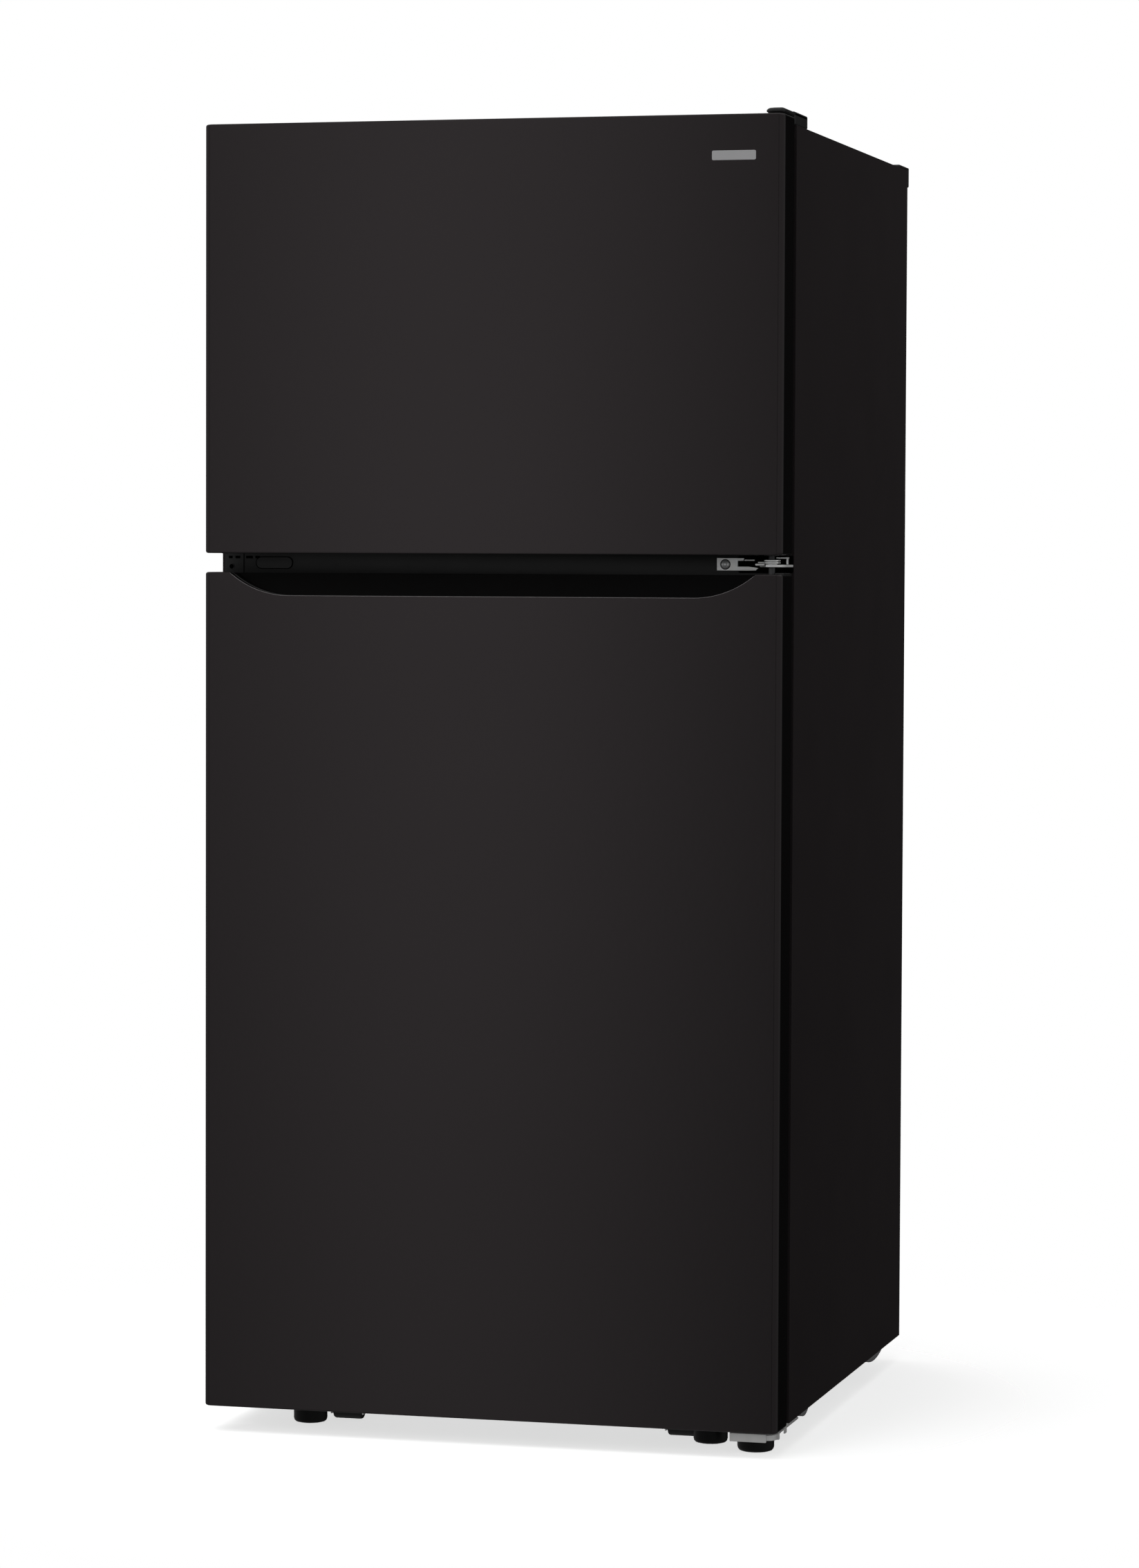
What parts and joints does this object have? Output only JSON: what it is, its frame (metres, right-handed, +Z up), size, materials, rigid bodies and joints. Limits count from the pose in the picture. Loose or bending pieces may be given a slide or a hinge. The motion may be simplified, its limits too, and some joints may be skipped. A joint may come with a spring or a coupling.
{
  "type": "top freezer refrigerator",
  "caption": "Black upright refrigerator with a freezer door above a taller fresh-food door, a scooped handle pocket, side hinges and levelling feet.",
  "frame": {"origin": "centre of the plan, on the floor", "axes": "+Z up; +X to the hinge side, the viewer's right from the front; -Y towards the front of the doors"},
  "size_m": [0.7556, 0.8076, 1.683],
  "materials": {
    "door_steel": "semi-gloss black enamel",
    "cabinet_steel": "fine pebbled black enamel",
    "back_sheet": "galvanised sheet",
    "trim_plastic": "satin black",
    "rail_steel": "satin black",
    "glide_plastic": "dark grey",
    "zinc": "zinc plated",
    "foot_plastic": "matt black",
    "roller_plastic": "matt",
    "liner_plastic": "white, semi-gloss",
    "foam": "foamed",
    "gasket_rubber": "soft black vinyl",
    "clear_plastic": "clear moulded",
    "shelf_plastic": "white",
    "glass": "clear",
    "dial_plastic": "light grey",
    "wire": "white epoxy coated",
    "coil_aluminium": "plain",
    "condenser_steel": "black enamel",
    "fan_plastic": "black",
    "badge_metal": "brushed, plain"
  },
  "bodies": {
    "cabinet": {"cabinet_shell": "cabinet_steel", "back_panel": "back_sheet", "machine_cover": "back_sheet", "base_panel": "back_sheet", "machine_tray": "back_sheet", "top_hinge_cover": "trim_plastic", "mullion_plug": "trim_plastic", "rear_corner_caps": "trim_plastic", "mullion_rail": "rail_steel", "side_glides": "glide_plastic", "middle_hinge": "zinc", "bottom_hinge": "zinc", "top_hinge": "zinc", "roller_brackets": "zinc", "hinge_foot": "foot_plastic", "freezer_liner": "liner_plastic", "fridge_liner": "liner_plastic", "evaporator_cover": "liner_plastic", "air_duct": "liner_plastic", "cabinet_foam": "foam", "light_lens": "clear_plastic", "shelf_frames": "shelf_plastic", "crisper_cover": "shelf_plastic", "control_box": "shelf_plastic", "shelf_glass": "glass", "freezer_shelf": "wire", "evaporator_coil": "coil_aluminium", "condenser_coil": "condenser_steel", "compressor": "condenser_steel", "fan_motors": "fan_plastic", "drain_pan": "fan_plastic", "power_inlet": "fan_plastic"},
    "freezer_door": {"freezer_door_skin": "door_steel", "freezer_door_bottom_cap": "trim_plastic", "freezer_door_top_cap": "trim_plastic", "freezer_door_foam": "foam", "freezer_door_panel": "liner_plastic", "freezer_door_gasket": "gasket_rubber", "freezer_door_bins": "clear_plastic", "badge": "badge_metal"},
    "fridge_door": {"fridge_door_skin": "door_steel", "fridge_door_bottom_cap": "trim_plastic", "fridge_door_handle_cap": "trim_plastic", "fridge_door_foam": "foam", "fridge_door_panel": "liner_plastic", "fridge_door_gasket": "gasket_rubber", "fridge_door_bins": "clear_plastic", "dairy_box": "clear_plastic"},
    "dairy_lid": {"dairy_lid": "clear_plastic"},
    "crisper_left": {"crisper_left": "clear_plastic"},
    "crisper_right": {"crisper_right": "clear_plastic"},
    "condenser_fan": {"condenser_fan": "fan_plastic"},
    "evaporator_fan": {"evaporator_fan": "fan_plastic"},
    "leg_left": {"leg_left": "foot_plastic"},
    "leg_right": {"leg_right": "foot_plastic"},
    "front_roller_left": {"front_roller_left": "roller_plastic"},
    "front_roller_right": {"front_roller_right": "roller_plastic"},
    "rear_roller_left": {"rear_roller_left": "roller_plastic"},
    "rear_roller_right": {"rear_roller_right": "roller_plastic"},
    "temperature_dial": {"temperature_dial": "dial_plastic"}
  },
  "joints": [
    {"name": "fridge_door_hinge", "type": "hinge", "parent": "cabinet", "child": "fridge_door", "pos_m": [0.358, -0.372, 0.57], "axis": [0, 0, 1], "range_deg": [0, 120]},
    {"name": "freezer_door_hinge", "type": "hinge", "parent": "cabinet", "child": "freezer_door", "pos_m": [0.358, -0.372, 1.4], "axis": [0, 0, 1], "range_deg": [0, 120]},
    {"name": "crisper_left_slide", "type": "slide", "parent": "cabinet", "child": "crisper_left", "axis": [0, -1, 0], "range_m": [0, 0.22]},
    {"name": "crisper_right_slide", "type": "slide", "parent": "cabinet", "child": "crisper_right", "axis": [0, -1, 0], "range_m": [0, 0.22]},
    {"name": "dairy_lid_hinge", "type": "hinge", "parent": "fridge_door", "child": "dairy_lid", "pos_m": [0, -0.2422, 0.985], "axis": [1, 0, 0], "range_deg": [0, 80]},
    {"name": "condenser_fan_spin", "type": "hinge", "parent": "cabinet", "child": "condenser_fan", "pos_m": [-0.02, 0.272, 0.16], "axis": [1, 0, 0], "continuous": true},
    {"name": "evaporator_fan_spin", "type": "hinge", "parent": "cabinet", "child": "evaporator_fan", "pos_m": [0, 0.252, 1.517], "axis": [0, 1, 0], "continuous": true},
    {"name": "leg_left_turn", "type": "hinge", "parent": "cabinet", "child": "leg_left", "pos_m": [-0.268, -0.296, 0.02], "axis": [0, 0, 1], "continuous": true},
    {"name": "leg_right_turn", "type": "hinge", "parent": "cabinet", "child": "leg_right", "pos_m": [0.268, -0.296, 0.02], "axis": [0, 0, 1], "continuous": true},
    {"name": "front_roller_left_spin", "type": "hinge", "parent": "cabinet", "child": "front_roller_left", "pos_m": [-0.225, -0.264, 0.0153], "axis": [1, 0, 0], "continuous": true},
    {"name": "front_roller_right_spin", "type": "hinge", "parent": "cabinet", "child": "front_roller_right", "pos_m": [0.225, -0.264, 0.0153], "axis": [1, 0, 0], "continuous": true},
    {"name": "rear_roller_left_spin", "type": "hinge", "parent": "cabinet", "child": "rear_roller_left", "pos_m": [-0.3, 0.34, 0.016], "axis": [1, 0, 0], "continuous": true},
    {"name": "rear_roller_right_spin", "type": "hinge", "parent": "cabinet", "child": "rear_roller_right", "pos_m": [0.3, 0.34, 0.016], "axis": [1, 0, 0], "continuous": true},
    {"name": "temperature_dial_turn", "type": "hinge", "parent": "cabinet", "child": "temperature_dial", "pos_m": [0.06, -0.205, 1.0625], "axis": [0, 1, 0], "range_deg": [-135, 135]}
  ],
  "couplings": [
    {"joint": "crisper_left_slide", "follows": "fridge_door_hinge", "m_per_rad": 0.10503},
    {"joint": "crisper_right_slide", "follows": "fridge_door_hinge", "m_per_rad": 0.10503}
  ]
}
